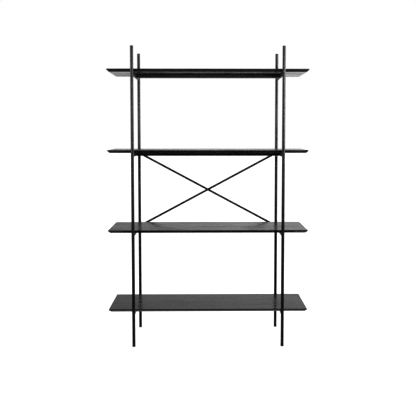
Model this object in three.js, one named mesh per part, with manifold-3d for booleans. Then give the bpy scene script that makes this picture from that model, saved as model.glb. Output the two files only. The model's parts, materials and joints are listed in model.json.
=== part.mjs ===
// Open bookcase: four slotted round uprights, four boards on steel under-frames that slide
// up and down the uprights and clamp where they are set, and a flat-bar cross behind.
// Millimetres, +X to the right, -Y to the front, +Z up. The origin is on the floor, under the
// middle of the whole bookcase, cross included.

import * as THREE from 'three';
import { ConvexGeometry } from 'three/addons/geometries/ConvexGeometry.js';
import { mergeVertices } from 'three/addons/utils/BufferGeometryUtils.js';
import Module from 'manifold-3d';

const wasm = await Module();
wasm.setup();

// ---- driving dimensions -------------------------------------------------------------------

const HEIGHT = 1800; // floor to the top of the caps
const UPRIGHT_SPACING_X = 896; // left upright axis to right upright axis
const UPRIGHT_SPACING_Y = 332; // front upright axis to rear upright axis
const GAP = 0.3; // running and assembly clearance between neighbours

const TUBE_RADIUS = 9.5;
const TUBE_WALL = 1.5;
const TUBE_SIDES = 32;
const CUTTER_REACH = TUBE_RADIUS / 2; // a cutter starts and ends this far from a tube's surface

const SLOT_WIDTH = 4; // in the face that looks at the other upright of the same side
const SLOT_END_PLAY = 1; // past the clamp key at each end of its travel

const FOOT_RADIUS = 10;
const FOOT_HEIGHT = 9; // floor to the end of the tube
const FOOT_ROUNDING = 3;
const CAP_HEIGHT = 5; // end of the tube to the top of the cap
const CAP_ROUNDING = 1;
const PLUG_LENGTH = 18; // part of a foot or cap inside the tube

const BOARD_LENGTH = 1200;
const BOARD_DEPTH = 308;
const BOARD_THICKNESS = 18;
const BOARD_LAND = 6; // upright part of the edge, above the undercut
const BOARD_BEVEL = 12; // how far the undercut runs in at the underside

const UNDERFRAME_HEIGHT = 22;
const UNDERFRAME_WALL = 1.5;
const RUNG_WIDTH = 10;
const RAIL_DEPTH = 40;

const KEY_HEIGHT = 16;
const KEY_HEAD_WIDTH = 9;
const KEY_HEAD_INNER = 3.3; // upright axis to the inner face of the key's head
const KEY_TAIL_START = 11; // upright axis to the shoulder of the key's tail
const KEY_TAIL_END = 32;

const BAR_WIDTH = 14;
const BAR_THICKNESS = 3;
const BAR_END_MARGIN = 9; // hole centre to the tip of the bar
const SCREW_RADIUS = 2.4;
const SCREW_HOLE_RADIUS = 2.8;
const SCREW_HEAD_RADIUS = 4.7;
const SCREW_HEAD_TOP_RADIUS = 3.3;
const SCREW_HEAD_HEIGHT = 2.7;
const SCREW_TIP_DEPTH = 3; // how far a screw shows inside the tube
const SPACER_RADIUS = 6;
const NUT_HEIGHT = 3;
const NUT_RADIUS = 4.6;
const BOLT_TIP = 1; // past the nut
const ROUND_SIDES = 24;
const SADDLE_SIDES = 40;
const BAR_END_STEPS = 6;
const ROUNDING_STEPS = 3;
const KEY_ARC_STEPS = 3;

// Each shelf: height of its board's top, and how far it can be set down and up from there.
const SHELVES = [
  { name: 'bottom', top: 225, down: 120, up: 160 },
  { name: 'lower', top: 706, down: 160, up: 160 },
  { name: 'upper', top: 1187, down: 160, up: 160 },
  { name: 'top', top: 1668, down: 160, up: 80 },
];

// ---- derived places -----------------------------------------------------------------------

const halfX = UPRIGHT_SPACING_X / 2;
const halfY = UPRIGHT_SPACING_Y / 2;
const boreRadius = TUBE_RADIUS - TUBE_WALL;
const underframeTop = (shelf) => shelf.top - BOARD_THICKNESS - GAP;
const underframeMiddle = (shelf) => underframeTop(shelf) - UNDERFRAME_HEIGHT / 2;

const firstBarY = halfY + TUBE_RADIUS + GAP;
const secondBarY = firstBarY + BAR_THICKNESS + GAP;
const rearmostY = secondBarY + BAR_THICKNESS + GAP + SCREW_HEAD_HEIGHT;
const foremostY = -halfY - FOOT_RADIUS;

const CORNERS = [
  { name: 'front_left', x: -halfX, y: -halfY, inward: 1 },
  { name: 'front_right', x: halfX, y: -halfY, inward: 1 },
  { name: 'rear_left', x: -halfX, y: halfY, inward: -1 },
  { name: 'rear_right', x: halfX, y: halfY, inward: -1 },
];

// ---- materials ----------------------------------------------------------------------------

const blackPowderCoat = () =>
  new THREE.MeshStandardMaterial({ color: 0x232324, roughness: 0.5, metalness: 0.2 });
const blackStainedOak = () =>
  new THREE.MeshStandardMaterial({ color: 0x2e2b2a, roughness: 0.6, metalness: 0 });
const blackPlastic = () =>
  new THREE.MeshStandardMaterial({ color: 0x101011, roughness: 0.55, metalness: 0 });
const blackZinc = () =>
  new THREE.MeshStandardMaterial({ color: 0x1b1b1c, roughness: 0.4, metalness: 0.6 });

// ---- solids: joining and cutting ----------------------------------------------------------

function toSolid(geometry) {
  const bare = geometry.clone();
  for (const name of ['normal', 'uv']) bare.deleteAttribute(name);
  const merged = mergeVertices(bare, 1e-4);
  const vertProperties = new Float32Array(merged.attributes.position.array);
  const triVerts = new Uint32Array(merged.index.array);
  return new wasm.Manifold(new wasm.Mesh({ numProp: 3, vertProperties, triVerts }));
}

function toGeometry(solid) {
  const mesh = solid.getMesh();
  const geometry = new THREE.BufferGeometry();
  geometry.setAttribute('position', new THREE.BufferAttribute(mesh.vertProperties, 3));
  geometry.setIndex(new THREE.BufferAttribute(mesh.triVerts, 1));
  geometry.computeVertexNormals();
  return geometry;
}

function cut(geometry, cutters) {
  let solid = toSolid(geometry);
  for (const cutter of cutters) solid = solid.subtract(toSolid(cutter));
  return toGeometry(solid);
}

// A round bar along Y, from y0 to y1.
function roundAlongY(radius, y0, y1) {
  const round = new THREE.CylinderGeometry(radius, radius, y1 - y0, ROUND_SIDES);
  return round.translate(0, (y0 + y1) / 2, 0);
}

function ring(outerPoints, innerPoints) {
  const shape = new THREE.Shape(outerPoints);
  shape.holes.push(new THREE.Path(innerPoints));
  return shape;
}

function polygon(radius, sides) {
  const points = [];
  for (let i = 0; i < sides; i++) {
    const angle = (2 * Math.PI * i) / sides;
    points.push(new THREE.Vector2(radius * Math.cos(angle), radius * Math.sin(angle)));
  }
  return points;
}

function rectangle(sizeX, sizeY) {
  const [x, y] = [sizeX / 2, sizeY / 2];
  return [[-x, -y], [x, -y], [x, y], [-x, y]].map(([u, v]) => new THREE.Vector2(u, v));
}

function prism(shape, depth) {
  return new THREE.ExtrudeGeometry(shape, { depth, bevelEnabled: false });
}

function quarterRound(centreR, centreZ, radius, fromAngle) {
  const points = [];
  for (let i = 0; i <= ROUNDING_STEPS; i++) {
    const angle = fromAngle + (Math.PI / 2) * (i / ROUNDING_STEPS);
    const r = centreR + radius * Math.cos(angle);
    const z = centreZ + radius * Math.sin(angle);
    points.push(new THREE.Vector2(r, z));
  }
  return points;
}

// A turned piece standing on +Z, from its (radius, height) outline.
function turned(points) {
  return new THREE.LatheGeometry(points, ROUND_SIDES).rotateX(Math.PI / 2);
}

// ---- uprights, feet and caps --------------------------------------------------------------

// A slot gives each clamp key its travel; solid tube is left between one slot and the next.
function slotBox(shelf, inward) {
  const reach = SLOT_END_PLAY + KEY_HEIGHT / 2;
  const low = underframeMiddle(shelf) - shelf.down - reach;
  const high = underframeMiddle(shelf) + shelf.up + reach;
  const cutter = new THREE.BoxGeometry(SLOT_WIDTH, 2 * CUTTER_REACH, high - low);
  return cutter.translate(0, inward * TUBE_RADIUS, (low + high) / 2);
}

function uprightGeometry(corner) {
  const section = ring(polygon(TUBE_RADIUS, TUBE_SIDES), polygon(boreRadius, TUBE_SIDES));
  const tube = prism(section, HEIGHT - FOOT_HEIGHT - CAP_HEIGHT).translate(0, 0, FOOT_HEIGHT);
  const cutters = SHELVES.map((shelf) => slotBox(shelf, corner.inward));
  if (corner.inward < 0) {
    for (const z of [bracePins.low, bracePins.high]) {
      const [from, to] = [TUBE_RADIUS - CUTTER_REACH, TUBE_RADIUS + CUTTER_REACH];
      cutters.push(roundAlongY(SCREW_HOLE_RADIUS, from, to).translate(0, 0, z));
    }
  }
  return cut(tube, cutters);
}

function footGeometry() {
  const pad = FOOT_HEIGHT - GAP;
  const plug = boreRadius - GAP;
  return turned([
    new THREE.Vector2(0, 0),
    ...quarterRound(FOOT_RADIUS - FOOT_ROUNDING, FOOT_ROUNDING, FOOT_ROUNDING, -Math.PI / 2),
    new THREE.Vector2(FOOT_RADIUS, pad),
    new THREE.Vector2(plug, pad),
    new THREE.Vector2(plug, pad + PLUG_LENGTH),
    new THREE.Vector2(0, pad + PLUG_LENGTH),
  ]);
}

function capGeometry() {
  const under = HEIGHT - CAP_HEIGHT + GAP;
  const plug = boreRadius - GAP;
  return turned([
    new THREE.Vector2(0, under - PLUG_LENGTH),
    new THREE.Vector2(plug, under - PLUG_LENGTH),
    new THREE.Vector2(plug, under),
    new THREE.Vector2(TUBE_RADIUS, under),
    ...quarterRound(TUBE_RADIUS - CAP_ROUNDING, HEIGHT - CAP_ROUNDING, CAP_ROUNDING, 0),
    new THREE.Vector2(0, HEIGHT),
  ]);
}

// ---- shelves ------------------------------------------------------------------------------

// A flat board with an upright land above an undercut that runs round all four edges.
function boardGeometry() {
  const levels = [
    [0, 0],
    [0, -BOARD_LAND],
    [BOARD_BEVEL, -BOARD_THICKNESS],
  ];
  const points = [];
  for (const [inset, z] of levels) {
    for (const corner of rectangle(BOARD_LENGTH - 2 * inset, BOARD_DEPTH - 2 * inset)) {
      points.push(new THREE.Vector3(corner.x, corner.y, z));
    }
  }
  return new ConvexGeometry(points);
}

function rectangularTube(width, height, length) {
  const outer = rectangle(width, height);
  const inner = rectangle(width - 2 * UNDERFRAME_WALL, height - 2 * UNDERFRAME_WALL);
  return prism(ring(outer, inner), length).translate(0, 0, -length / 2);
}

// Runs front to back; its ends are hollowed to sit round the uprights.
function rungGeometry() {
  const tube = rectangularTube(RUNG_WIDTH, UNDERFRAME_HEIGHT, UPRIGHT_SPACING_Y - TUBE_RADIUS);
  tube.rotateX(Math.PI / 2);
  const radius = TUBE_RADIUS + GAP;
  const saddle = (y) =>
    new THREE.CylinderGeometry(radius, radius, 2 * UNDERFRAME_HEIGHT, SADDLE_SIDES)
      .rotateX(Math.PI / 2)
      .translate(0, y, 0);
  return cut(tube, [saddle(-halfY), saddle(halfY)]);
}

// Runs from rung to rung under the middle of the board.
function railGeometry() {
  const length = UPRIGHT_SPACING_X - RUNG_WIDTH - 2 * GAP;
  const tube = rectangularTube(UNDERFRAME_HEIGHT, RAIL_DEPTH, length);
  return tube.rotateY(Math.PI / 2);
}

// T-shaped key: the head bears on the inside of the tube, the neck runs in the slot and the
// tail is drawn into the end of the rung.
function keyGeometry() {
  const headRadius = boreRadius - GAP;
  const neck = SLOT_WIDTH / 2 - GAP;
  const tail = RUNG_WIDTH / 2 - UNDERFRAME_WALL - GAP;
  const right = [[KEY_HEAD_WIDTH / 2, KEY_HEAD_INNER]];
  for (let i = 0; i <= KEY_ARC_STEPS; i++) {
    const x = KEY_HEAD_WIDTH / 2 + (neck - KEY_HEAD_WIDTH / 2) * (i / KEY_ARC_STEPS);
    right.push([x, Math.sqrt(headRadius ** 2 - x ** 2)]);
  }
  right.push([neck, KEY_TAIL_START], [tail, KEY_TAIL_START], [tail, KEY_TAIL_END]);
  const left = right.map(([x, y]) => [-x, y]).reverse();
  const outline = [...right, ...left].map(([x, y]) => new THREE.Vector2(x, y));
  return prism(new THREE.Shape(outline), KEY_HEIGHT).translate(0, 0, -KEY_HEIGHT / 2);
}

// ---- cross brace --------------------------------------------------------------------------

// The bar ends are screwed on where the rungs of the two middle shelves meet the rear uprights.
const bracePins = {
  low: underframeMiddle(SHELVES[1]),
  high: underframeMiddle(SHELVES[2]),
};
const braceRise = bracePins.high - bracePins.low;
const braceMiddleZ = (bracePins.high + bracePins.low) / 2;

function barGeometry(slope) {
  const halfSpan = Math.hypot(UPRIGHT_SPACING_X, braceRise) / 2;
  const straight = halfSpan + BAR_END_MARGIN - BAR_WIDTH / 2;
  const outline = new THREE.Shape();
  outline.absarc(straight, 0, BAR_WIDTH / 2, -Math.PI / 2, Math.PI / 2);
  outline.absarc(-straight, 0, BAR_WIDTH / 2, Math.PI / 2, (3 * Math.PI) / 2);
  for (const x of [-halfSpan, 0, halfSpan]) {
    const hole = polygon(SCREW_HOLE_RADIUS, ROUND_SIDES).map((p) => new THREE.Vector2(p.x + x, p.y));
    outline.holes.push(new THREE.Path(hole));
  }
  const flat = new THREE.ExtrudeGeometry(outline, {
    depth: BAR_THICKNESS,
    bevelEnabled: false,
    curveSegments: BAR_END_STEPS,
  });
  const tilt = slope * Math.atan2(braceRise, UPRIGHT_SPACING_X);
  return flat.rotateX(Math.PI / 2).translate(0, BAR_THICKNESS, 0).rotateY(-tilt);
}

// A pan-head screw pointing to the front, its head's underside at y = 0.
function screwGeometry(shankLength) {
  const shank = toSolid(roundAlongY(SCREW_RADIUS, -shankLength, SCREW_HEAD_HEIGHT / 2));
  const head = new THREE.CylinderGeometry(
    SCREW_HEAD_TOP_RADIUS,
    SCREW_HEAD_RADIUS,
    SCREW_HEAD_HEIGHT,
    ROUND_SIDES,
  ).translate(0, SCREW_HEAD_HEIGHT / 2, 0);
  return toGeometry(shank.add(toSolid(head)));
}

function washerGeometry(outerPoints, height) {
  const section = ring(outerPoints, polygon(SCREW_HOLE_RADIUS, ROUND_SIDES));
  return prism(section, height).rotateX(Math.PI / 2).translate(0, height, 0);
}

// ---- assembly -----------------------------------------------------------------------------

const bookcase = new THREE.Group();
bookcase.name = 'bookcase';
bookcase.position.y = -(foremostY + rearmostY) / 2;

function place(parent, name, geometry, material, x = 0, y = 0, z = 0) {
  const mesh = new THREE.Mesh(geometry, material);
  mesh.name = name;
  mesh.position.set(x, y, z);
  parent.add(mesh);
  return mesh;
}

const stand = new THREE.Group();
bookcase.add(stand);
for (const corner of CORNERS) {
  const { name, x, y } = corner;
  place(stand, `upright_${name}`, uprightGeometry(corner), blackPowderCoat(), x, y);
  place(stand, `foot_${name}`, footGeometry(), blackPlastic(), x, y);
  place(stand, `cap_${name}`, capGeometry(), blackPlastic(), x, y);
}

const brace = new THREE.Group();
stand.add(brace);
place(brace, 'brace_bar_falling', barGeometry(-1), blackPowderCoat(), 0, firstBarY, braceMiddleZ);
place(brace, 'brace_bar_rising', barGeometry(1), blackPowderCoat(), 0, secondBarY, braceMiddleZ);
const BRACE_ENDS = [
  { name: 'top_left', x: -halfX, z: bracePins.high, bar: firstBarY },
  { name: 'bottom_right', x: halfX, z: bracePins.low, bar: firstBarY },
  { name: 'top_right', x: halfX, z: bracePins.high, bar: secondBarY },
  { name: 'bottom_left', x: -halfX, z: bracePins.low, bar: secondBarY },
];
const screwTipY = halfY + boreRadius - SCREW_TIP_DEPTH;
for (const { name, x, z, bar } of BRACE_ENDS) {
  const headY = bar + BAR_THICKNESS + GAP;
  place(brace, `brace_screw_${name}`, screwGeometry(headY - screwTipY), blackZinc(), x, headY, z);
  if (bar === secondBarY) {
    const spacer = washerGeometry(polygon(SPACER_RADIUS, ROUND_SIDES), BAR_THICKNESS);
    place(brace, `brace_spacer_${name}`, spacer, blackZinc(), x, firstBarY, z);
  }
}
const boltHeadY = secondBarY + BAR_THICKNESS + GAP;
const nutY = firstBarY - GAP - NUT_HEIGHT;
const bolt = screwGeometry(boltHeadY - nutY + BOLT_TIP);
place(brace, 'brace_bolt', bolt, blackZinc(), 0, boltHeadY, braceMiddleZ);
const nut = washerGeometry(polygon(NUT_RADIUS, 6), NUT_HEIGHT);
place(brace, 'brace_nut', nut, blackZinc(), 0, nutY, braceMiddleZ);

for (const shelf of SHELVES) {
  const group = new THREE.Group();
  bookcase.add(group);
  const middle = underframeMiddle(shelf);
  place(group, `${shelf.name}_board`, boardGeometry(), blackStainedOak(), 0, 0, shelf.top);
  place(group, `${shelf.name}_rail`, railGeometry(), blackPowderCoat(), 0, 0, middle);
  for (const [side, x] of [['left', -halfX], ['right', halfX]]) {
    place(group, `${shelf.name}_rung_${side}`, rungGeometry(), blackPowderCoat(), x, 0, middle);
  }
  for (const { name, x, y, inward } of CORNERS) {
    const key = place(group, `${shelf.name}_clamp_${name}`, keyGeometry(), blackZinc(), x, y, middle);
    key.rotation.z = inward > 0 ? 0 : Math.PI;
  }
}

export default bookcase;
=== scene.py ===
import json
import math

import bmesh
import bpy
from mathutils import Matrix, Vector


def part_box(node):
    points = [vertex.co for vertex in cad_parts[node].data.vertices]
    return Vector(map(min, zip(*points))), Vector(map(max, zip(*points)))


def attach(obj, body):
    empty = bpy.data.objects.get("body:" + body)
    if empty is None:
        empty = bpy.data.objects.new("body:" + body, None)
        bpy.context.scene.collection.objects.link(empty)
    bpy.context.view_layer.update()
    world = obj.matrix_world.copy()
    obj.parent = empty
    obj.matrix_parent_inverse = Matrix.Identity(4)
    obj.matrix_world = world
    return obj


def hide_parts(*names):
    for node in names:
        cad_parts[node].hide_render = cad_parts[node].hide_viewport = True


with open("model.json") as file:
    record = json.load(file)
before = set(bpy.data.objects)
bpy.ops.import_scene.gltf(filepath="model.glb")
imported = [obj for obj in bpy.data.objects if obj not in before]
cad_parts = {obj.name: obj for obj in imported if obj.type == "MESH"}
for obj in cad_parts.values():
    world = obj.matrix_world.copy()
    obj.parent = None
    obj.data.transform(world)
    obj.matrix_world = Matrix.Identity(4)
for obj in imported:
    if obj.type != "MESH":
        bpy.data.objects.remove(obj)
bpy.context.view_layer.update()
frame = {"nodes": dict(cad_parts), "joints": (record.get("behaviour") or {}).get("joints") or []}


# ---- The studio ---------------------------------------------------------------------------
# Not part of the bookcase. A plain pale floor that runs out into a white surround, one soft
# lamp high on either side and a lens at chest height, tipped down a little.

LENS_MM = 46.90
SENSOR_MM = 36.0
LENS_SHIFT = (-0.0105, -0.1063)
LENS_PLACE = (-0.011, -3.3825, 1.289)
LENS_DIP = 3.259
LENS_TURN = -0.654
FILM_GAMMA = 0.78
LAMP_SIZE = (0.9, 0.8)
LAMP_SPREAD = 75.0
FRONT_LEVEL = 0.040
BACK_LEVEL = 1.50
HORIZON_LEVEL = 1.30
UPPER_LEVEL = 0.575
UNDER_HORIZON = 0.66
GROUND_GLOW = 0.40
LEFT_LEVEL = 0.52
RIGHT_LEVEL = 1.52
WHITE = (1.0, 1.0, 1.0)
FLOOR_REACH = 40.0
FLOOR_TONE = (0.9, 0.9, 0.9)
FLOOR_ROUGHNESS = 0.9


class Link:
    """One output of a node. Arithmetic between links, or with numbers, adds Math nodes."""

    def __init__(self, graph, socket):
        self.graph = graph
        self.socket = socket

    def math(self, operation, *values):
        return self.graph.node("ShaderNodeMath", {"operation": operation}, dict(enumerate(values)))

    def __add__(self, other):
        return self.math("ADD", self, other)

    def __sub__(self, other):
        return self.math("SUBTRACT", self, other)

    def __mul__(self, other):
        return self.math("MULTIPLY", self, other)

    def __truediv__(self, other):
        return self.math("DIVIDE", self, other)

    def __pow__(self, other):
        return self.math("POWER", self, other)

    def __radd__(self, other):
        return self.math("ADD", other, self)

    def __rsub__(self, other):
        return self.math("SUBTRACT", other, self)

    def __rmul__(self, other):
        return self.math("MULTIPLY", other, self)

    def __rtruediv__(self, other):
        return self.math("DIVIDE", other, self)


class Graph:
    """Builds a node tree: shader or geometry."""

    def __init__(self, tree):
        self.tree = tree
        tree.nodes.clear()

    def feed(self, socket, value):
        """Sets or links one input; a list goes to an input that takes several links."""
        if isinstance(value, list):
            for one in value:
                self.feed(socket, one)
        elif isinstance(value, Link):
            self.tree.links.new(value.socket, socket)
        elif socket.type == "RGBA" and len(value) == 3:
            socket.default_value = (*value, 1.0)
        else:
            socket.default_value = value

    def node(self, kind, settings=None, inputs=None, out=0):
        """Adds a node; out is one output, by name or number, or several of them."""
        node = self.tree.nodes.new(kind)
        for name, value in (settings or {}).items():
            setattr(node, name, value)
        for name, value in (inputs or {}).items():
            self.feed(node.inputs[name], value)
        if isinstance(out, tuple):
            return [Link(self, node.outputs[one]) for one in out]
        return Link(self, node.outputs[out]) if len(node.outputs) else node

    def split(self, vector):
        """The three parts of a vector."""
        return self.node("ShaderNodeSeparateXYZ", None, {0: vector}, ("X", "Y", "Z"))

    def join(self, x, y, z):
        """A vector from its three parts."""
        return self.node("ShaderNodeCombineXYZ", None, {"X": x, "Y": y, "Z": z})

    def blend(self, factor, first, second):
        """A colour between two colours."""
        settings = {"data_type": "RGBA"}
        return self.node("ShaderNodeMix", settings, {0: factor, 6: first, 7: second}, out=2)

    def ease(self, value, low, high, to_low=0.0, to_high=1.0):
        """Carries value from low..high smoothly to to_low..to_high, and holds it there."""
        inputs = {0: value, 1: low, 2: high, 3: to_low, 4: to_high}
        return self.node("ShaderNodeMapRange", {"interpolation_type": "SMOOTHSTEP"}, inputs)

    def noise(self, vector, scale, detail=2.0, roughness=0.5):
        """Soft random values from 0 to 1, scale of them to a metre."""
        inputs = {"Vector": vector, "Scale": scale, "Detail": detail, "Roughness": roughness}
        return self.node("ShaderNodeTexNoise", None, inputs)

    def chance(self, least, most, seed):
        """A random number for each point, the same on every run."""
        inputs = {2: least, 3: most, "Seed": seed}
        return self.node("FunctionNodeRandomValue", {"data_type": "FLOAT"}, inputs, out=1)

    def bump(self, strength, depth, height):
        """A normal that follows a height, depth metres from its 0 to its 1."""
        inputs = {"Strength": strength, "Distance": depth, "Height": height}
        return self.node("ShaderNodeBump", None, inputs)


scene = bpy.context.scene
scene.view_settings.view_transform = "Standard"
scene.view_settings.gamma = FILM_GAMMA

lens = bpy.data.cameras.new("camera")
lens.sensor_width = SENSOR_MM
lens.lens = LENS_MM
lens.shift_x, lens.shift_y = LENS_SHIFT
camera = bpy.data.objects.new("camera", lens)
camera.location = LENS_PLACE
camera.rotation_euler = (math.radians(90.0 - LENS_DIP), 0.0, math.radians(LENS_TURN))
scene.collection.objects.link(camera)
scene.camera = camera


def soft_lamp(name, place, aim, watts):
    """A rectangular lamp at a place, facing a point it is aimed at."""
    lamp = bpy.data.lights.new(name, "AREA")
    lamp.shape = "RECTANGLE"
    lamp.size, lamp.size_y = LAMP_SIZE
    lamp.energy = watts
    lamp.spread = math.radians(LAMP_SPREAD)
    holder = bpy.data.objects.new(name, lamp)
    holder.location = place
    holder.rotation_euler = (Vector(aim) - Vector(place)).to_track_quat("-Z", "Y").to_euler()
    scene.collection.objects.link(holder)


soft_lamp("lamp_right", (1.8, -0.80, 1.66), (0.3, 0.0, 1.72), 16.5)
soft_lamp("lamp_left", (-2.2, -1.1, 1.66), (-0.3, 0.0, 1.72), 9.5)

surround = bpy.data.worlds.new("surround")
surround.use_nodes = True
scene.world = surround
g = Graph(surround.node_tree)
across, depth, height = g.split(g.node("ShaderNodeTexCoord", out="Generated"))
behind = g.ease(depth, 0.0, 0.6, FRONT_LEVEL, BACK_LEVEL)
upward = g.ease(height, 0.01, 0.12, HORIZON_LEVEL, UPPER_LEVEL)
downward = g.ease(height, -0.03, 0.02, UNDER_HORIZON, 1.0)
sideways = g.ease(across, -0.6, 0.6, LEFT_LEVEL, RIGHT_LEVEL)
glow = g.ease(height, -0.45, -0.22, GROUND_GLOW, 0.0)
level = behind * (upward * downward) * sideways + glow
walls = g.node("ShaderNodeBackground", None, {"Strength": level})
backdrop = g.node("ShaderNodeBackground", None, {"Color": WHITE, "Strength": 1.0})
seen = g.node("ShaderNodeLightPath", out="Is Camera Ray")
mixed = g.node("ShaderNodeMixShader", None, {0: seen, 1: walls, 2: backdrop})
g.node("ShaderNodeOutputWorld", None, {"Surface": mixed})


def new_finish(name):
    """A new material and the graph of its nodes."""
    material = bpy.data.materials.new(name)
    material.use_nodes = True
    return material, Graph(material.node_tree)


def coat(graph, **inputs):
    """Ends a material in one Principled shader; underscores in names stand for spaces."""
    named = {name.replace("_", " "): value for name, value in inputs.items()}
    shader = graph.node("ShaderNodeBsdfPrincipled", None, named)
    graph.node("ShaderNodeOutputMaterial", None, {"Surface": shader})


floor_finish, g = new_finish("pale_floor")
coat(
    g,
    Base_Color=FLOOR_TONE,
    Roughness=FLOOR_ROUGHNESS,
    Emission_Color=WHITE,
    Emission_Strength=1.0,
)
floor_mesh = bpy.data.meshes.new("floor")
square = ((-1, -1), (1, -1), (1, 1), (-1, 1))
corners = [(x * FLOOR_REACH, y * FLOOR_REACH, 0.0) for x, y in square]
floor_mesh.from_pydata(corners, [], [(0, 1, 2, 3)])
floor_mesh.materials.append(floor_finish)
floor = bpy.data.objects.new("floor", floor_mesh)
floor.visible_diffuse = False
floor.visible_glossy = False
floor.visible_shadow = False
scene.collection.objects.link(floor)


# ---- The uprights -------------------------------------------------------------------------
# Four lengths of round steel tube, 19 mm across, with a milled slot for each shelf in the side
# that faces the other upright. Black powder coat with a fine texture, fused on after milling.

SIDES = ("left", "right")
CORNERS = ("front_left", "front_right", "rear_left", "rear_right")
SHELVES = ("bottom", "lower", "upper", "top")
TRAVEL = {joint["child"]: joint["range_m"] for joint in frame["joints"]}
STAND = "stand"

TUBE_WALL = 0.0015
TUBE_SIDES = 64
SLOT_WIDTH = 0.004
SLOT_END_PLAY = 0.0015
SLOT_END_STEPS = 8
HOLE_START = 1.5
BORE_OVERRUN = 1.01
SAME_PLACE = 1e-6
BRACE_HOLE_RADIUS = 0.0028
EDGE_STEPS = 2
SHARP_ANGLE = 35.0
PEEL_SCALE = 1400.0
PEEL_DEPTH = 0.00006
COAT_DARK = (0.006, 0.006, 0.0065)
COAT_LIGHT = (0.016, 0.016, 0.0165)


def powder_coat():
    """Fine orange-peel texture, a little gloss, and faint cloudy changes in the gloss."""
    material, g = new_finish("black_powder_coat")
    place = g.node("ShaderNodeTexCoord", out="Object")
    peel = g.noise(place, PEEL_SCALE, 3.0, 0.6)
    clouds = g.noise(place, 9.0, 3.0, 0.6)
    handling = g.noise(place, 120.0, 4.0, 0.65)
    gloss = 0.40 + 0.16 * clouds + 0.10 * handling
    tone = g.blend(clouds, COAT_DARK, COAT_LIGHT)
    bump = g.bump(0.3, PEEL_DEPTH, peel)
    coat(g, Base_Color=tone, Roughness=gloss, Normal=bump)
    return material


steel_black = powder_coat()


def new_tree(name, **sockets):
    """An empty geometry tree, its graph, and a link from each of its named inputs."""
    tree = bpy.data.node_groups.new(name, "GeometryNodeTree")
    for socket, kind in sockets.items():
        tree.interface.new_socket(socket, in_out="INPUT", socket_type=f"NodeSocket{kind}")
    tree.interface.new_socket("Mesh", in_out="OUTPUT", socket_type="NodeSocketGeometry")
    g = Graph(tree)
    return tree, g, g.node("NodeGroupInput", out=tuple(sockets))


def end_tree(g, shape, finish):
    """Makes the shape real, gives it its finish and hands it to the tree's output."""
    solid = g.node("GeometryNodeRealizeInstances", None, {0: shape})
    painted = g.node("GeometryNodeSetMaterial", None, {"Geometry": solid, "Material": finish})
    g.node("NodeGroupOutput", None, {0: painted})


def upright_tree():
    """Tube from bottom to top of an upright, cut through by the outlines it is given."""
    tree, g, given = new_tree(
        "slotted_upright",
        Outlines="Geometry",
        Axis="Vector",
        Length="Float",
        Radius="Float",
        Wall="Float",
        Cut="Vector",
        Finish="Material",
    )
    outlines, axis, length, radius, wall, cut, finish = given
    walls = {"Mesh": outlines, "Offset": cut}
    side = g.node("GeometryNodeExtrudeMesh", {"mode": "FACES"}, {"Individual": False, **walls})
    back = g.node("GeometryNodeFlipFaces", None, {"Mesh": outlines})
    loose = g.node("GeometryNodeJoinGeometry", None, {0: [side, back]})
    cutters = g.node("GeometryNodeMergeByDistance", None, {0: loose, "Distance": SAME_PLACE})

    def round_bar(bar_radius, bar_length):
        size = {"Vertices": TUBE_SIDES, "Radius": bar_radius, "Depth": bar_length}
        bar = g.node("GeometryNodeMeshCylinder", {"fill_type": "NGON"}, size)
        return g.node("GeometryNodeTransform", None, {"Geometry": bar, "Translation": axis})

    outside = round_bar(radius, length)
    bore = round_bar(radius - wall, BORE_OVERRUN * length)
    boolean = {"operation": "DIFFERENCE", "solver": "EXACT"}
    parts = {"Mesh 1": outside, "Mesh 2": [bore, cutters]}
    end_tree(g, g.node("GeometryNodeMeshBoolean", boolean, parts), finish)
    return tree


def grow(name, tree, base, settings):
    """Runs a geometry tree on a base mesh and hands back the plain piece it makes."""
    piece = bpy.data.objects.new(name, base)
    scene.collection.objects.link(piece)
    modifier = piece.modifiers.new("tree", "NODES")
    modifier.node_group = tree
    for item in tree.interface.items_tree:
        if item.in_out == "INPUT" and item.name in settings:
            modifier[item.identifier] = settings[item.name]
    bpy.context.view_layer.update()
    depsgraph = bpy.context.evaluated_depsgraph_get()
    made = bpy.data.meshes.new_from_object(piece.evaluated_get(depsgraph))
    piece.modifiers.remove(modifier)
    piece.data = made
    made.name = name
    return piece


def dress(piece, ease=0.0):
    """Eases the sharp edges and smooths the rest, so that flat faces stay flat."""
    sharp = math.radians(SHARP_ANGLE)
    piece.data.shade_smooth()
    piece.data.set_sharp_from_angle(angle=sharp)
    if ease:
        bevel = piece.modifiers.new("ease", "BEVEL")
        bevel.width = ease
        bevel.segments = EDGE_STEPS
        bevel.limit_method = "ANGLE"
        bevel.angle_limit = sharp
    normals = piece.modifiers.new("normals", "WEIGHTED_NORMAL")
    normals.keep_sharp = not ease
    bpy.context.view_layer.update()
    depsgraph = bpy.context.evaluated_depsgraph_get()
    made = bpy.data.meshes.new_from_object(
        piece.evaluated_get(depsgraph), preserve_all_data_layers=True, depsgraph=depsgraph
    )
    piece.modifiers.clear()
    piece.data = made
    return piece


def settle(piece, body, slot, *nodes):
    """The piece rides on a body and stands for CAD nodes. The slot is not used."""
    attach(piece, body)
    if nodes:
        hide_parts(*nodes)


def middle(node):
    """The middle of a CAD node's box."""
    low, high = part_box(node)
    return (low + high) / 2


def slot_outline(x, y, low, high, width):
    """A closed outline with round ends, standing in the plane of that y."""
    radius = width / 2
    points = []
    for centre, start in ((high - radius, 0.0), (low + radius, math.pi)):
        for step in range(SLOT_END_STEPS + 1):
            angle = start + math.pi * step / SLOT_END_STEPS
            points.append((x + radius * math.cos(angle), y, centre + radius * math.sin(angle)))
    return points


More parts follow.
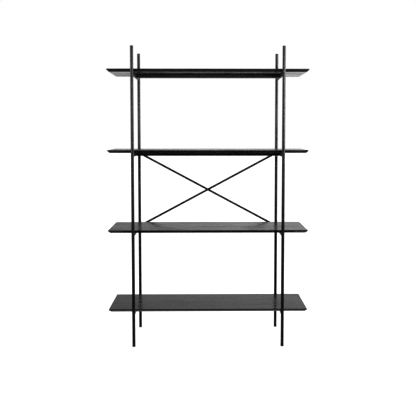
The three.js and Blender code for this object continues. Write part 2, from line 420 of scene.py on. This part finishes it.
slotted_upright = upright_tree()
for corner in CORNERS:
    node = f"upright_{corner}"
    low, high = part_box(node)
    axis = (low + high) / 2
    radius = (high.x - low.x) / 2
    inward = 1 if corner.startswith("front") else -1
    cut = Vector((0.0, inward * radius, 0.0))
    outlines = []
    for shelf in SHELVES:
        key_low, key_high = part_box(f"{shelf}_clamp_{corner}")
        down, up = TRAVEL[f"{shelf}_shelf"]
        slot_low = key_low.z + down - SLOT_END_PLAY
        slot_high = key_high.z + up + SLOT_END_PLAY
        start = axis.y + inward * radius / 2
        outlines.append(slot_outline(axis.x, start, slot_low, slot_high, SLOT_WIDTH))
    if inward < 0:
        side = "left" if axis.x < 0 else "right"
        for level in ("top", "bottom"):
            z = middle(f"brace_screw_{level}_{side}").z
            start = axis.y - inward * radius * HOLE_START
            reach = BRACE_HOLE_RADIUS
            outlines.append(slot_outline(axis.x, start, z - reach, z + reach, 2 * reach))
    vertices = []
    faces = []
    for outline in outlines:
        ring = range(len(vertices), len(vertices) + len(outline))
        faces.append(tuple(ring) if inward < 0 else tuple(reversed(ring)))
        vertices.extend(outline)
    base = bpy.data.meshes.new("outlines")
    base.from_pydata(vertices, [], faces)
    settings = {
        "Axis": axis,
        "Length": high.z - low.z,
        "Radius": radius,
        "Wall": TUBE_WALL,
        "Cut": cut,
        "Finish": steel_black,
    }
    tube = grow(f"tube_{corner}", slotted_upright, base, settings)
    dress(tube)
    settle(tube, STAND, "powder_coated_steel", node)


# ---- The end caps and feet ----------------------------------------------------------------
# Moulded black plastic, pressed into the ends of the tubes: a thin flat cap on top, and below
# a glide a shade wider than the tube, rounded underneath so that it slides without catching.

CAP_ROUNDING = 0.0010
FOOT_ROUNDING = 0.0030
FOOT_LIP = 0.0006
PLUG_RADIUS = 0.0077
SEAT_GAP = 0.0003
ROUND_STEPS = 6
MOULD_SCALE = 2600.0
MOULD_DEPTH = 0.00004
PLASTIC_DARK = (0.008, 0.008, 0.009)
PLASTIC_LIGHT = (0.018, 0.018, 0.019)


def moulded_plastic():
    """Spark-eroded mould texture, matt, with a few rubbed patches."""
    material, g = new_finish("black_plastic")
    place = g.node("ShaderNodeTexCoord", out="Object")
    texture = g.noise(place, MOULD_SCALE)
    rubbed = g.noise(place, 160.0, 3.0, 0.6)
    tone = g.blend(rubbed, PLASTIC_DARK, PLASTIC_LIGHT)
    bump = g.bump(0.35, MOULD_DEPTH, texture)
    coat(g, Base_Color=tone, Roughness=0.42 + 0.25 * rubbed, Normal=bump)
    return material


plastic_black = moulded_plastic()


def as_piece(work, name, material):
    """Turns worked geometry into a piece of one material."""
    mesh = bpy.data.meshes.new(name)
    work.to_mesh(mesh)
    work.free()
    mesh.materials.append(material)
    piece = bpy.data.objects.new(name, mesh)
    scene.collection.objects.link(piece)
    return piece


def turned(name, outline, place, material, sides=48, axis=(0.0, 0.0, 1.0)):
    """A piece turned on a lathe from (radius, height) points, first and last on its axis.

    A third entry of True makes that ring a hexagon of the given apothem.
    """
    work = bmesh.new()
    rings = []
    for radius, height, *hexagon in outline:
        if radius == 0.0:
            rings.append([work.verts.new((0.0, 0.0, height))])
            continue
        ring = []
        for step in range(sides):
            angle = 2 * math.pi * step / sides
            reach = radius
            if hexagon:
                reach = radius / math.cos((angle + math.pi / 6) % (math.pi / 3) - math.pi / 6)
            ring.append(work.verts.new((reach * math.cos(angle), reach * math.sin(angle), height)))
        rings.append(ring)
    for lower, upper in zip(rings, rings[1:]):
        for step in range(sides):
            following = (step + 1) % sides
            corners = [lower[step % len(lower)], lower[following % len(lower)]]
            corners += [upper[following % len(upper)], upper[step % len(upper)]]
            work.faces.new(list(dict.fromkeys(corners)))
    bmesh.ops.recalc_face_normals(work, faces=work.faces)
    turn = Vector((0.0, 0.0, 1.0)).rotation_difference(Vector(axis)).to_matrix().to_4x4()
    work.transform(Matrix.Translation(place) @ turn)
    return as_piece(work, name, material)


def quarter(radius, height, rounding, start):
    """Points of a rounded edge about (radius, height), through a quarter turn from start."""
    points = []
    for step in range(ROUND_STEPS + 1):
        angle = start + (math.pi / 2) * step / ROUND_STEPS
        points.append((radius + rounding * math.cos(angle), height + rounding * math.sin(angle)))
    return points


for corner in CORNERS:
    low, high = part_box(f"cap_{corner}")
    radius = (high.x - low.x) / 2
    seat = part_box(f"upright_{corner}")[1].z + SEAT_GAP
    outline = [
        (0.0, low.z),
        (PLUG_RADIUS, low.z),
        (PLUG_RADIUS, seat),
        (radius, seat),
        *quarter(radius - CAP_ROUNDING, high.z - CAP_ROUNDING, CAP_ROUNDING, 0.0),
        (0.0, high.z),
    ]
    axis = Vector(((low.x + high.x) / 2, (low.y + high.y) / 2, 0.0))
    cap = turned(f"endcap_{corner}", outline, axis, plastic_black)
    settle(dress(cap), STAND, "black_plastic", f"cap_{corner}")

    low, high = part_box(f"foot_{corner}")
    radius = (high.x - low.x) / 2
    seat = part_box(f"upright_{corner}")[0].z - SEAT_GAP
    outline = [
        (0.0, low.z),
        *quarter(radius - FOOT_ROUNDING, FOOT_ROUNDING, FOOT_ROUNDING, -math.pi / 2),
        *quarter(radius - FOOT_LIP, seat - FOOT_LIP, FOOT_LIP, 0.0),
        (PLUG_RADIUS, seat),
        (PLUG_RADIUS, high.z),
        (0.0, high.z),
    ]
    glide = turned(f"glide_{corner}", outline, axis, plastic_black)
    settle(dress(glide), STAND, "black_plastic", f"foot_{corner}")


# ---- The cross ----------------------------------------------------------------------------
# Two black flat bars screwed to the backs of the rear uprights and bolted where they meet. The
# bar that lies further back stands on a spacer at each end. Screws and nut are black zinc.

BAR_EASE = 0.0004
HARDWARE_EASE = 0.00025
FLAT_WITHIN = 0.5
SOCKET_APOTHEM = 0.0015
SOCKET_DEPTH = 0.0016
SOCKET_FLARE = 0.0002
SOCKET_FLARE_DEPTH = 0.0003
SOCKET_CONE = 0.0005
SHANK_RADIUS = 0.0024
SHANK_CHAMFER = 0.0004
HEAD_HEIGHT = 0.0027
HEAD_RIM = 0.0006
HEAD_DOME = ((0.93, 0.45), (0.78, 0.16), (0.60, 0.0))
PLATE_SCALE = 3000.0
PLATE_DEPTH = 0.00003
ZINC_DARK = (0.028, 0.028, 0.030)
ZINC_LIGHT = (0.060, 0.058, 0.056)


def black_zinc():
    """Plated steel: dark and slightly metallic, with a smoky change of tone."""
    material, g = new_finish("black_zinc")
    place = g.node("ShaderNodeTexCoord", out="Object")
    smoke = g.noise(place, 220.0, 3.0, 0.6)
    grain = g.noise(place, PLATE_SCALE)
    tone = g.blend(smoke, ZINC_DARK, ZINC_LIGHT)
    bump = g.bump(0.3, PLATE_DEPTH, grain)
    coat(g, Base_Color=tone, Metallic=0.6, Roughness=0.28 + 0.25 * smoke, Normal=bump)
    return material


zinc_black = black_zinc()


def from_cad(node, name, material, ease):
    """A clean copy of a CAD node's mesh with its edges eased."""
    work = bmesh.new()
    work.from_mesh(frame["nodes"][node].data)
    bmesh.ops.remove_doubles(work, verts=work.verts, dist=SAME_PLACE)
    flat = math.radians(FLAT_WITHIN)
    bmesh.ops.dissolve_limit(work, angle_limit=flat, verts=work.verts, edges=work.edges)
    return dress(as_piece(work, name, material), ease)


def socket_screw(name, node, material):
    """A button-head screw with a hexagon socket, lying along Y with its head at the back."""
    low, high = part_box(node)
    radius = (high.x - low.x) / 2
    length = high.y - low.y
    neck = length - HEAD_HEIGHT
    outline = [
        (0.0, 0.0),
        (SHANK_RADIUS - SHANK_CHAMFER, 0.0),
        (SHANK_RADIUS, SHANK_CHAMFER),
        (SHANK_RADIUS, neck),
        (radius, neck),
        (radius, neck + HEAD_RIM),
        *((radius * reach, length - HEAD_HEIGHT * drop) for reach, drop in HEAD_DOME),
        (SOCKET_APOTHEM + SOCKET_FLARE, length, True),
        (SOCKET_APOTHEM, length - SOCKET_FLARE_DEPTH, True),
        (SOCKET_APOTHEM, length - SOCKET_DEPTH, True),
        (0.0, length - SOCKET_DEPTH - SOCKET_CONE),
    ]
    place = Vector(((low.x + high.x) / 2, low.y, (low.z + high.z) / 2))
    return dress(turned(name, outline, place, material, sides=24, axis=(0.0, 1.0, 0.0)))


for way in ("falling", "rising"):
    bar = from_cad(f"brace_bar_{way}", f"flat_bar_{way}", steel_black, BAR_EASE)
    settle(bar, STAND, "powder_coated_steel", f"brace_bar_{way}")
for place in ("top_left", "top_right", "bottom_left", "bottom_right"):
    screw = socket_screw(f"button_screw_{place}", f"brace_screw_{place}", zinc_black)
    settle(screw, STAND, "black_zinc_steel", f"brace_screw_{place}")
for place in ("top_right", "bottom_left"):
    spacer = from_cad(f"brace_spacer_{place}", f"spacer_{place}", zinc_black, HARDWARE_EASE)
    settle(spacer, STAND, "black_zinc_steel", f"brace_spacer_{place}")
bolt = socket_screw("crossing_bolt", "brace_bolt", zinc_black)
settle(bolt, STAND, "black_zinc_steel", "brace_bolt")
nut = from_cad("brace_nut", "crossing_nut", zinc_black, HARDWARE_EASE)
settle(nut, STAND, "black_zinc_steel", "brace_nut")


# ---- The boards ---------------------------------------------------------------------------
# Solid oak glued up from four staves, 18 mm thick, undercut all round so that the edge looks
# thin. Stained black and lacquered so the grain still shows; the edges and underside carry painted
# shade, a darker tone.

BOARD_EASE = 0.0008
STAVE_WIDTH = 0.077
RING_SPACING = 0.0046
BOARD_SPACING = 0.481
EDGE_START = 0.2240
EDGE_BLEND = 0.003
GRAIN_DEPTH = 0.0001
STAIN_DEEP = (0.006, 0.0053, 0.0058)
STAIN_THIN = (0.125, 0.108, 0.116)
# Painted shade: the darker tone given to the edges and underside of the boards.
EDGE_SHADE_TONE = (0.006, 0.0055, 0.0055)
PORE_TONE = (0.004, 0.004, 0.004)


def stained_oak():
    """Oak as a solid texture: staves, growth rings, streaks along the grain and open pores."""
    material, g = new_finish("black_stained_oak")
    x, y, z = g.split(g.node("ShaderNodeTexCoord", out="Object"))
    across = y / STAVE_WIDTH + 0.06
    stave = across.math("FLOOR", across)
    board = (z / BOARD_SPACING).math("FLOOR", z / BOARD_SPACING)
    tree = g.node("ShaderNodeTexWhiteNoise", None, {"Vector": g.join(stave, board, 0.5)})
    along = x + 9.0 * tree

    def grain(lengthwise, crosswise, detail, roughness=0.5):
        """Noise drawn out along the board: so many to a metre lengthwise and crosswise."""
        place = g.join(along * lengthwise, y * crosswise, z * crosswise)
        return g.noise(place, 1.0, detail, roughness)

    drift = grain(1.3, 5.0, 2.0)
    heart_y = y - STAVE_WIDTH * (stave + 0.5) + 0.05 * (tree - 0.5) + 0.045 * (drift - 0.5)
    heart_z = z - BOARD_SPACING * (board + 0.5) + 0.09 + 0.06 * tree
    reach = (heart_y * heart_y + heart_z * heart_z) ** 0.5
    phase = reach / RING_SPACING + 0.9 * grain(6.0, 60.0, 3.0)
    ring = phase - phase.math("FLOOR", phase)
    early = g.ease(ring, 0.0, 0.35, 1.0, 0.0)
    streak = g.ease(grain(2.2, 45.0, 4.0, 0.6), 0.36, 0.64)
    cloud = g.ease(grain(4.0, 11.0, 3.0, 0.6), 0.38, 0.62)
    pore = g.ease(grain(22.0, 1100.0, 2.0), 0.53, 0.61) * (0.25 + 0.75 * early)
    wave = grain(9.0, 26.0, 2.0)
    shade = 0.20 * ring + 0.30 * streak + 0.38 * cloud + 0.12 * tree
    stain = g.blend(g.ease(shade, 0.15, 0.80), STAIN_DEEP, STAIN_THIN)
    # Painted shade: below the top face of each board, the edges and underside take the darker
    # tone.
    rise = z - BOARD_SPACING * board
    below = g.ease(rise, EDGE_START - EDGE_BLEND, EDGE_START, 1.0, 0.0)
    shaded_stain = g.blend(below, stain, EDGE_SHADE_TONE)
    tone = g.blend(pore, shaded_stain, PORE_TONE)
    gloss = 0.14 + 0.14 * streak + 0.12 * cloud + 0.22 * pore
    height = 0.2 * ring + 0.15 * streak + 4.0 * wave - 0.6 * pore
    bump = g.bump(0.6, GRAIN_DEPTH, height)
    coat(g, Base_Color=tone, Roughness=gloss, Normal=bump)
    return material


oak_black = stained_oak()

for shelf in SHELVES:
    node = f"{shelf}_board"
    board = from_cad(node, f"{shelf}_oak_board", oak_black, BOARD_EASE)
    settle(board, f"{shelf}_shelf", "black_stained_oak", node)


# ---- The under-frames ---------------------------------------------------------------------
# Under each board: two rungs of 22 x 10 mm steel tube from front to rear upright, their ends
# hollowed to the round of the upright, and a 40 x 22 mm rail welded between them.

FRAME_WALL = 0.0015
RUNG_CORNER = 0.0018
RAIL_CORNER = 0.0028
CORNER_STEPS = 5
TIGHTEST_CORNER = 0.0003
SADDLE_GAP = 0.0003
FLAT_STEPS = 6


def rounded_section(width, height, corner):
    """Points of an oblong with round corners about the middle, its flats split into steps."""
    points = []
    for quadrant, (sx, sy) in enumerate(((1, 1), (-1, 1), (-1, -1), (1, -1))):
        for step in range(CORNER_STEPS + 1):
            angle = (quadrant + step / CORNER_STEPS) * math.pi / 2
            cx = sx * (width / 2 - corner)
            cy = sy * (height / 2 - corner)
            points.append(Vector((cx + corner * math.cos(angle), cy + corner * math.sin(angle))))
    full = []
    for first, second in zip(points, points[1:] + points[:1]):
        full.append(first)
        if abs(first.y - second.y) < 1e-9 and abs(first.x - second.x) > 1e-6:
            full += [first.lerp(second, step / FLAT_STEPS) for step in range(1, FLAT_STEPS)]
    return full


def hollow_bar(name, width, height, corner, ends, to_world, material):
    """A tube with a wall, whose ends follow the two functions of the place across it."""
    outer = rounded_section(width, height, corner)
    inner_corner = max(corner - FRAME_WALL, TIGHTEST_CORNER)
    inner = rounded_section(width - 2 * FRAME_WALL, height - 2 * FRAME_WALL, inner_corner)
    work = bmesh.new()
    loops = []
    for section, end in ((outer, 0), (outer, 1), (inner, 1), (inner, 0)):
        loops.append([work.verts.new(to_world(p.x, p.y, ends[end](p.x))) for p in section])
    count = len(outer)
    for first, second in zip(loops, loops[1:] + loops[:1]):
        for step in range(count):
            following = (step + 1) % count
            work.faces.new((first[step], first[following], second[following], second[step]))
    bmesh.ops.recalc_face_normals(work, faces=work.faces)
    return dress(as_piece(work, name, material))


for shelf in SHELVES:
    for side in SIDES:
        node = f"{shelf}_rung_{side}"
        low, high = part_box(node)
        centre = (low + high) / 2
        front = middle(f"upright_front_{side}")
        rear = middle(f"upright_rear_{side}")
        hollow = (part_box(f"upright_front_{side}")[1].x - front.x) + SADDLE_GAP

        def front_end(across):
            return front.y + math.sqrt(hollow**2 - across**2)

        def rear_end(across):
            return rear.y - math.sqrt(hollow**2 - across**2)

        def lay_rung(across, up, along):
            return (centre.x + across, along, centre.z + up)

        size = high - low
        name = f"{shelf}_side_rung_{side}"
        ends = (front_end, rear_end)
        rung = hollow_bar(name, size.x, size.z, RUNG_CORNER, ends, lay_rung, steel_black)
        settle(rung, f"{shelf}_shelf", "powder_coated_steel", node)
    node = f"{shelf}_rail"
    low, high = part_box(node)
    centre = (low + high) / 2

    def lay_rail(across, up, along):
        return (along, centre.y + across, centre.z + up)

    size = high - low
    ends = (lambda across: low.x, lambda across: high.x)
    name = f"{shelf}_cross_rail"
    rail = hollow_bar(name, size.y, size.z, RAIL_CORNER, ends, lay_rail, steel_black)
    settle(rail, f"{shelf}_shelf", "powder_coated_steel", node)


# ---- The clamp keys and small screws ------------------------------------------------------
# A flat steel key at each end of a rung holds it to the upright: its head bears on the inside
# of the tube, and a screw under the rung draws it tight. Wood screws hold the board down.

for shelf in SHELVES:
    for corner in CORNERS:
        key = frame["nodes"][f"{shelf}_clamp_{corner}"]
        for place in key.material_slots:
            place.link = "OBJECT"
            place.material = zinc_black


def screw_tree():
    """A screw on each point, head down, turned at random about its own axis."""
    tree, g, given = new_tree(
        "screws", Places="Geometry", Screw="Object", Seed="Int", Finish="Material"
    )
    places, screw, seed, finish = given
    pattern = g.node("GeometryNodeObjectInfo", None, {"Object": screw}, out="Geometry")
    turn = g.chance(-math.pi, math.pi, seed)
    points = {"Points": places, "Instance": pattern, "Rotation": g.join(math.pi, 0.0, turn)}
    end_tree(g, g.node("GeometryNodeInstanceOnPoints", None, points), finish)
    return tree


DRAW_SCREW_FROM_AXIS = 0.022
RAIL_SCREW_PLACES = (-0.38, -0.13, 0.13, 0.38)
RUNG_SCREW_PLACES = (-0.085, 0.085)
SMALL_HEAD_RADIUS = 0.0034
SMALL_HEAD_HEIGHT = 0.0015
SMALL_HEAD_DOME = ((1.0, 0.35), (0.92, 0.72), (0.72, 1.0))
SMALL_SOCKET = 0.0011
SMALL_SOCKET_FLARE = 0.00015
SMALL_SEAT = 0.00005

head = SMALL_HEAD_HEIGHT
small_outline = [
    (0.0, SMALL_SEAT),
    (SMALL_HEAD_RADIUS, SMALL_SEAT),
    *((SMALL_HEAD_RADIUS * reach, head * rise) for reach, rise in SMALL_HEAD_DOME),
    (SMALL_SOCKET + SMALL_SOCKET_FLARE, head, True),
    (SMALL_SOCKET, 0.9 * head, True),
    (SMALL_SOCKET, 0.25 * head, True),
    (0.0, 0.2 * head),
]
pattern = dress(turned("screw_pattern", small_outline, Vector(), zinc_black, sides=24))
screws = screw_tree()
for number, shelf in enumerate(SHELVES):
    places = []
    for side in SIDES:
        low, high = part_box(f"{shelf}_rung_{side}")
        centre = (low + high) / 2
        for end, inward in (("front", 1), ("rear", -1)):
            axis = middle(f"upright_{end}_{side}")
            places.append((centre.x, axis.y + inward * DRAW_SCREW_FROM_AXIS, low.z))
        places += [(centre.x, centre.y + along, low.z) for along in RUNG_SCREW_PLACES]
    low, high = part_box(f"{shelf}_rail")
    places += [(x, (low.y + high.y) / 2, low.z) for x in RAIL_SCREW_PLACES]
    base = bpy.data.meshes.new("screw_places")
    base.from_pydata(places, [], [])
    settings = {"Screw": pattern, "Seed": number, "Finish": zinc_black}
    piece = grow(f"{shelf}_underframe_screws", screws, base, settings)
    settle(piece, f"{shelf}_shelf", "black_zinc_steel")
bpy.data.objects.remove(pattern)


# ---- The welds ----------------------------------------------------------------------------
# A short fillet weld up each side of the rail where it meets the rung, laid as overlapping
# drops and powder-coated over with the rest of the under-frame.

BEAD_RADIUS = 0.0016
BEAD_STEP = 0.0011
BEAD_END = 0.0022
BEAD_LEAST = 0.88
BEAD_MOST = 1.06
BEAD_FLATNESS = 0.6


def weld_tree():
    """A row of overlapping, slightly uneven drops along each seam line."""
    tree, g, given = new_tree(
        "welds", Seams="Geometry", Step="Float", Radius="Float", Seed="Int", Finish="Material"
    )
    seams, step, radius, seed, finish = given
    lines = g.node("GeometryNodeMeshToCurve", None, {"Mesh": seams})
    steps = {"Curve": lines, "Length": step}
    spread = g.node("GeometryNodeResampleCurve", {"mode": "LENGTH"}, steps)
    drop = g.node("GeometryNodeMeshIcoSphere", None, {"Radius": radius, "Subdivisions": 2})
    uneven = g.chance(BEAD_LEAST, BEAD_MOST, seed)
    points = {"Points": spread, "Instance": drop, "Scale": g.join(uneven, uneven, BEAD_FLATNESS)}
    end_tree(g, g.node("GeometryNodeInstanceOnPoints", None, points), finish)
    return tree


welds = weld_tree()
for number, shelf in enumerate(SHELVES):
    low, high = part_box(f"{shelf}_rail")
    vertices = []
    for x in (low.x, high.x):
        for y in (low.y, high.y):
            vertices += [(x, y, low.z + BEAD_END), (x, y, high.z - BEAD_END)]
    base = bpy.data.meshes.new("seams")
    base.from_pydata(vertices, [(0, 1), (2, 3), (4, 5), (6, 7)], [])
    settings = {"Step": BEAD_STEP, "Radius": BEAD_RADIUS, "Seed": number, "Finish": steel_black}
    piece = grow(f"{shelf}_welds", welds, base, settings)
    piece.data.shade_smooth()
    settle(piece, f"{shelf}_shelf", "powder_coated_steel")
